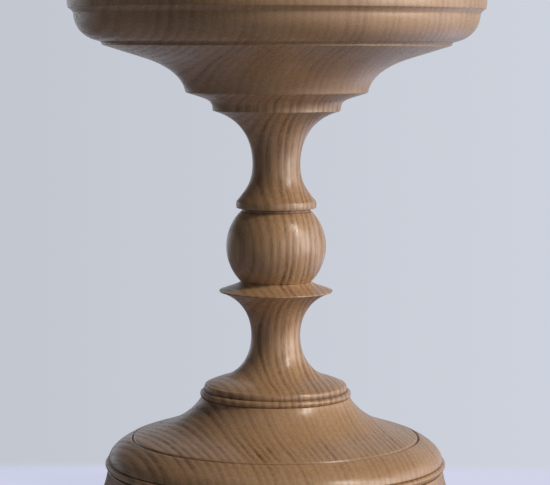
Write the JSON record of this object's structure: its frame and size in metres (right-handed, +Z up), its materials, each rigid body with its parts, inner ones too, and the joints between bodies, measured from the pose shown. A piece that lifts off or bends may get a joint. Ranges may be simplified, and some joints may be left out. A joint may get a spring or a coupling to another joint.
{
  "type": "pricket candle stand",
  "caption": "Turned wooden candle stand with a wide drip dish, a ball knop between waisted stems, a domed base and a brass spike with a lift-off wax plate.",
  "frame": {"origin": "centre of the felt ring's underside, on the table", "axes": "+Z up along the turning axis; X and Y are free, as the stand is turned"},
  "size_m": [0.17, 0.17, 0.2434],
  "materials": {
    "oiled_ash": "turned, sanded and oiled, satin",
    "zinc_steel": "bright zinc",
    "turned_brass": "turned, lightly brushed",
    "green_felt": "pressed wool felt"
  },
  "bodies": {
    "stand": {"turned_base": "oiled_ash", "lower_stem": "oiled_ash", "ball_knop": "oiled_ash", "upper_stem": "oiled_ash", "drip_dish": "oiled_ash", "tie_rod": "zinc_steel", "foot_washer": "zinc_steel", "spring_washer": "zinc_steel", "foot_nut": "zinc_steel", "seat_washer": "turned_brass", "pricket_spike": "turned_brass", "felt_ring": "green_felt"},
    "plate": {"wax_plate": "turned_brass"}
  },
  "joints": [
    {"name": "plate_lift", "type": "slide", "parent": "stand", "child": "plate", "axis": [0, 0, 1], "range_m": [0, 0.05]}
  ]
}
